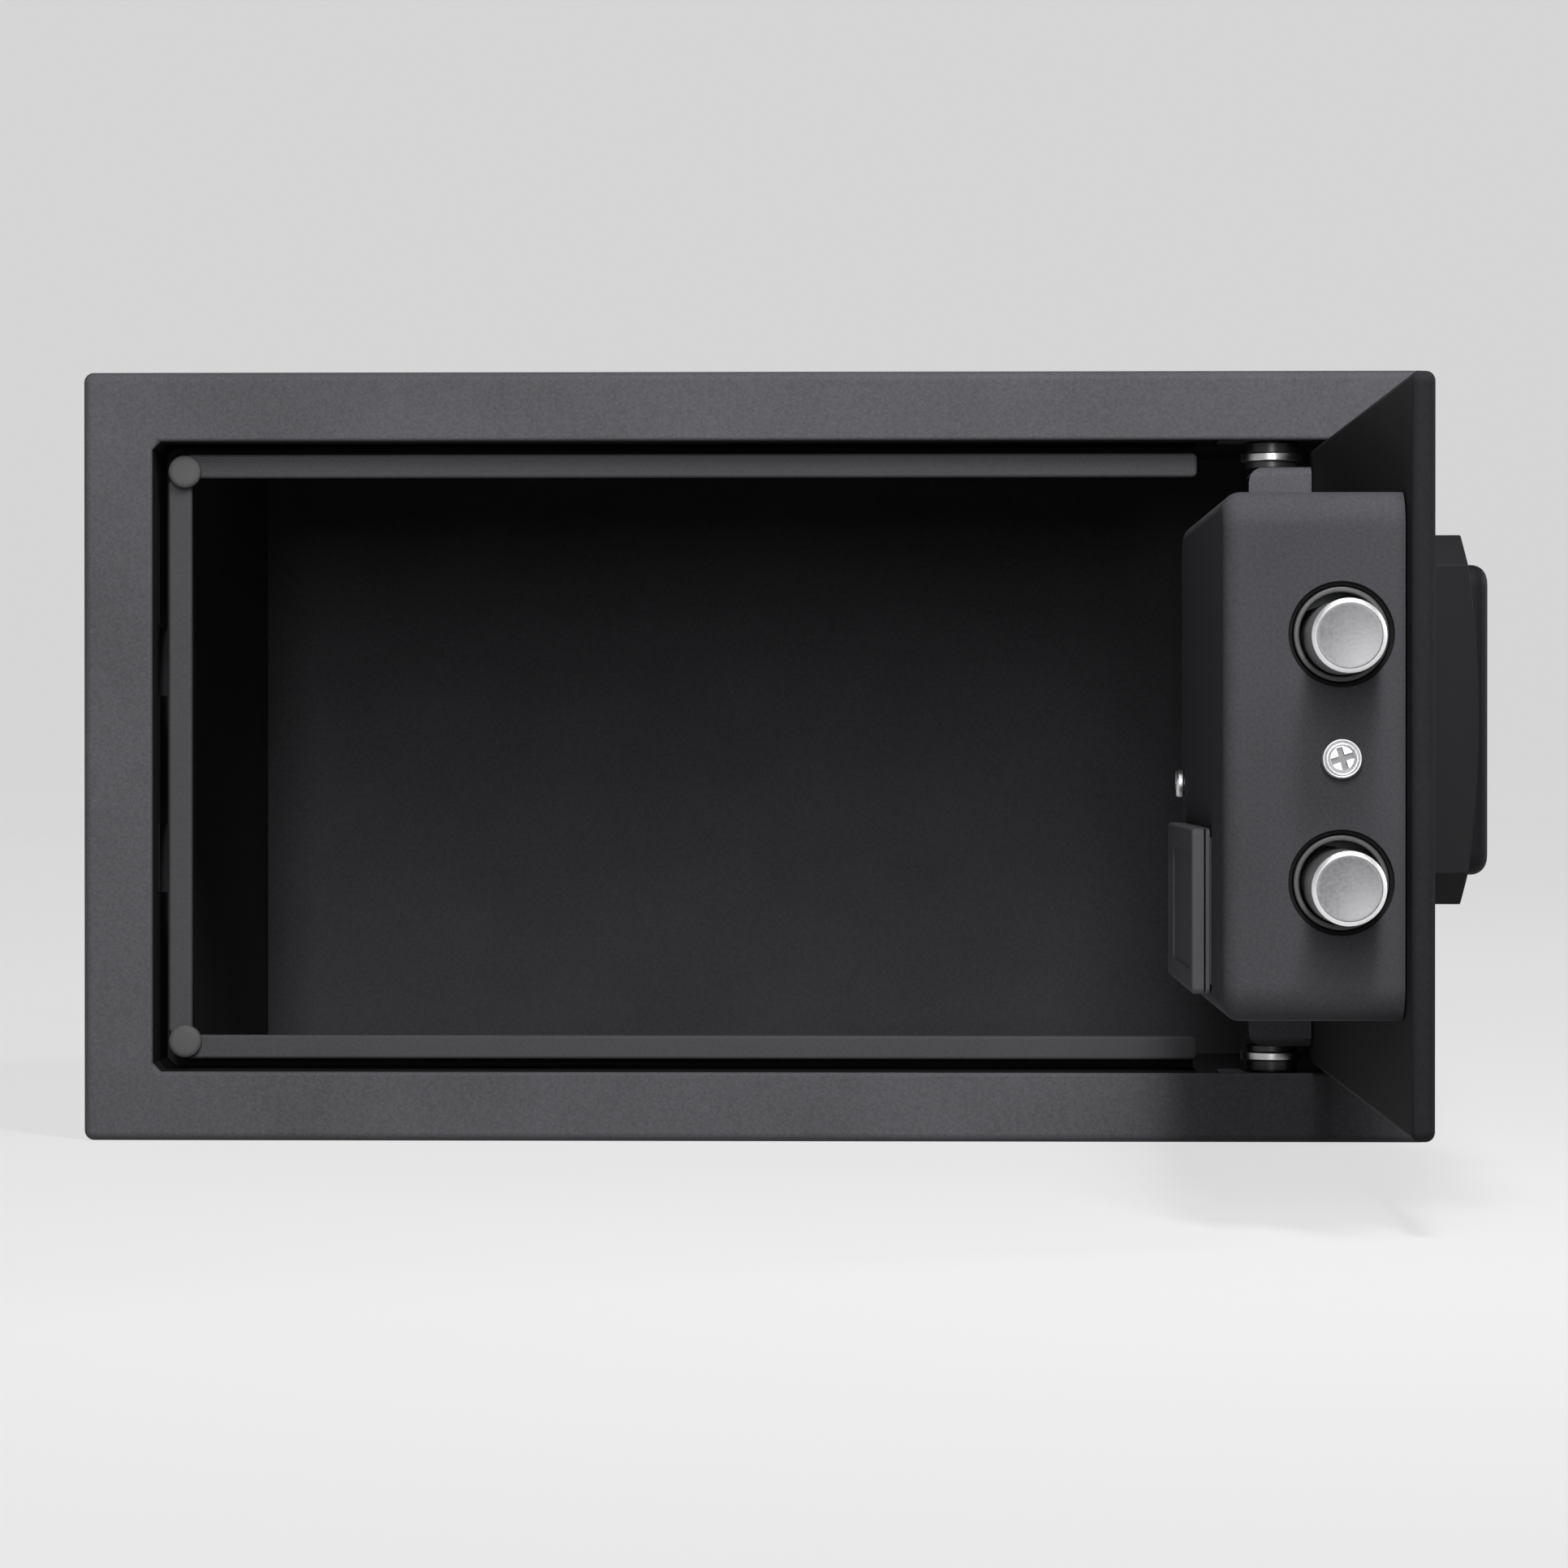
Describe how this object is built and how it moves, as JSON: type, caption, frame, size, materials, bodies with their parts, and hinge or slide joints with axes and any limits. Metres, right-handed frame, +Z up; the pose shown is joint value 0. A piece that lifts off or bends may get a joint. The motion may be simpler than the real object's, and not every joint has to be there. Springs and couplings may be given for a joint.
{
  "type": "under desk drawer safe",
  "caption": "Steel safe with a hinged front door standing open, round locking bolts worked by a knob, a keypad, a battery tray and a key override.",
  "frame": {"origin": "centre of the flat underside of the body", "axes": "+X to the right of a person facing the open front, +Y from the front into the safe, +Z up. The door is stored open by a right angle, on the right."},
  "size_m": [0.35, 0.6646, 0.2],
  "materials": {
    "powder_coat": "fine-textured satin powder coat",
    "strip_paint": "smooth satin paint",
    "buffer_rubber": "matt",
    "chrome_plate": "bright plated, brushed on the bolts' ends",
    "zinc_steel": "zinc plated",
    "black_plastic": "satin moulded",
    "grey_plastic": "satin moulded",
    "bezel_gloss": "gloss moulded",
    "key_plastic": "satin moulded",
    "led_lens": "clear tinted, polished",
    "circuit_board": "lacquered board",
    "cell_wrap": "shrink sleeve, bare of print",
    "lock_brass": "machined",
    "lead_sheath": "flexible sheath"
  },
  "bodies": {
    "body": {"body_shell": "powder_coat", "back_panel": "powder_coat", "stop_strip_left": "strip_paint", "stop_strip_top": "strip_paint", "stop_strip_bottom": "strip_paint", "corner_bumper_top": "buffer_rubber", "corner_bumper_bottom": "buffer_rubber", "hinge_lug_top": "powder_coat", "hinge_lug_bottom": "powder_coat", "hinge_pin_top": "zinc_steel", "hinge_pin_bottom": "zinc_steel", "hinge_bush_top": "chrome_plate", "hinge_bush_bottom": "chrome_plate", "anchor_plug_left": "black_plastic", "anchor_plug_right": "black_plastic"},
    "door": {"door_panel": "powder_coat", "hinge_bracket": "powder_coat", "lock_cover": "powder_coat", "bolt_guide_plate": "zinc_steel", "bolt_guide_bush_top": "powder_coat", "bolt_guide_bush_bottom": "powder_coat", "cover_screw_end": "chrome_plate", "cover_screw_rear": "chrome_plate", "cover_post_rear": "zinc_steel", "battery_holder": "grey_plastic", "battery_cell_1": "cell_wrap", "battery_cell_2": "cell_wrap", "battery_cell_3": "cell_wrap", "battery_cell_4": "cell_wrap", "keypad_board": "circuit_board", "keypad_bezel": "bezel_gloss", "keypad_pod": "black_plastic", "led_lens_1": "led_lens", "led_lens_2": "led_lens", "solenoid_body": "zinc_steel", "solenoid_lead": "lead_sheath", "battery_lead": "lead_sheath", "override_barrel": "zinc_steel"},
    "bolt_work": {"bolt_top": "chrome_plate", "bolt_bottom": "chrome_plate", "bolt_carriage": "zinc_steel"},
    "turning_knob": {"knob": "black_plastic", "knob_spindle": "zinc_steel"},
    "plunger": {"solenoid_plunger": "zinc_steel"},
    "override_lock": {"override_cylinder": "lock_brass"},
    "lock_cap": {"override_cap": "black_plastic"},
    "battery_door": {"battery_lid": "grey_plastic"},
    "button_1": {"key_1": "key_plastic"},
    "button_2": {"key_2": "key_plastic"},
    "button_3": {"key_3": "key_plastic"},
    "button_4": {"key_4": "key_plastic"},
    "button_5": {"key_5": "key_plastic"},
    "button_6": {"key_6": "key_plastic"},
    "button_7": {"key_7": "key_plastic"},
    "button_8": {"key_8": "key_plastic"},
    "button_9": {"key_9": "key_plastic"},
    "button_10": {"key_10": "key_plastic"},
    "button_11": {"key_11": "key_plastic"},
    "button_12": {"key_12": "key_plastic"}
  },
  "joints": [
    {"name": "door_swing", "type": "hinge", "parent": "body", "child": "door", "pos_m": [0.1347, -0.1744, 0.1], "axis": [0, 0, 1], "range_deg": [-90, 20]},
    {"name": "bolt_throw", "type": "slide", "parent": "door", "child": "bolt_work", "axis": [0, 1, 0], "range_m": [0, 0.0184]},
    {"name": "knob_turn", "type": "hinge", "parent": "door", "child": "turning_knob", "pos_m": [0.163, -0.3141, 0.108], "axis": [1, 0, 0], "range_deg": [0, 86]},
    {"name": "plunger_slide", "type": "slide", "parent": "door", "child": "plunger", "axis": [1, 0, 0], "range_m": [0, 0.0025], "stiffness_N_per_m": 60},
    {"name": "override_turn", "type": "hinge", "parent": "door", "child": "override_lock", "pos_m": [0.145, -0.3411, 0.08], "axis": [1, 0, 0], "range_deg": [0, 90]},
    {"name": "cap_pull", "type": "slide", "parent": "door", "child": "lock_cap", "axis": [1, 0, 0], "range_m": [0, 0.02]},
    {"name": "lid_slide", "type": "slide", "parent": "door", "child": "battery_door", "axis": [0, 1, 0], "range_m": [0, 0.02]},
    {"name": "button_1_press", "type": "slide", "parent": "door", "child": "button_1", "axis": [-1, 0, 0], "range_m": [0, 0.001], "stiffness_N_per_m": 400},
    {"name": "button_2_press", "type": "slide", "parent": "door", "child": "button_2", "axis": [-1, 0, 0], "range_m": [0, 0.001], "stiffness_N_per_m": 400},
    {"name": "button_3_press", "type": "slide", "parent": "door", "child": "button_3", "axis": [-1, 0, 0], "range_m": [0, 0.001], "stiffness_N_per_m": 400},
    {"name": "button_4_press", "type": "slide", "parent": "door", "child": "button_4", "axis": [-1, 0, 0], "range_m": [0, 0.001], "stiffness_N_per_m": 400},
    {"name": "button_5_press", "type": "slide", "parent": "door", "child": "button_5", "axis": [-1, 0, 0], "range_m": [0, 0.001], "stiffness_N_per_m": 400},
    {"name": "button_6_press", "type": "slide", "parent": "door", "child": "button_6", "axis": [-1, 0, 0], "range_m": [0, 0.001], "stiffness_N_per_m": 400},
    {"name": "button_7_press", "type": "slide", "parent": "door", "child": "button_7", "axis": [-1, 0, 0], "range_m": [0, 0.001], "stiffness_N_per_m": 400},
    {"name": "button_8_press", "type": "slide", "parent": "door", "child": "button_8", "axis": [-1, 0, 0], "range_m": [0, 0.001], "stiffness_N_per_m": 400},
    {"name": "button_9_press", "type": "slide", "parent": "door", "child": "button_9", "axis": [-1, 0, 0], "range_m": [0, 0.001], "stiffness_N_per_m": 400},
    {"name": "button_10_press", "type": "slide", "parent": "door", "child": "button_10", "axis": [-1, 0, 0], "range_m": [0, 0.001], "stiffness_N_per_m": 400},
    {"name": "button_11_press", "type": "slide", "parent": "door", "child": "button_11", "axis": [-1, 0, 0], "range_m": [0, 0.001], "stiffness_N_per_m": 400},
    {"name": "button_12_press", "type": "slide", "parent": "door", "child": "button_12", "axis": [-1, 0, 0], "range_m": [0, 0.001], "stiffness_N_per_m": 400}
  ],
  "couplings": [
    {"joint": "knob_turn", "follows": "bolt_throw", "rad_per_m": 81.5}
  ]
}
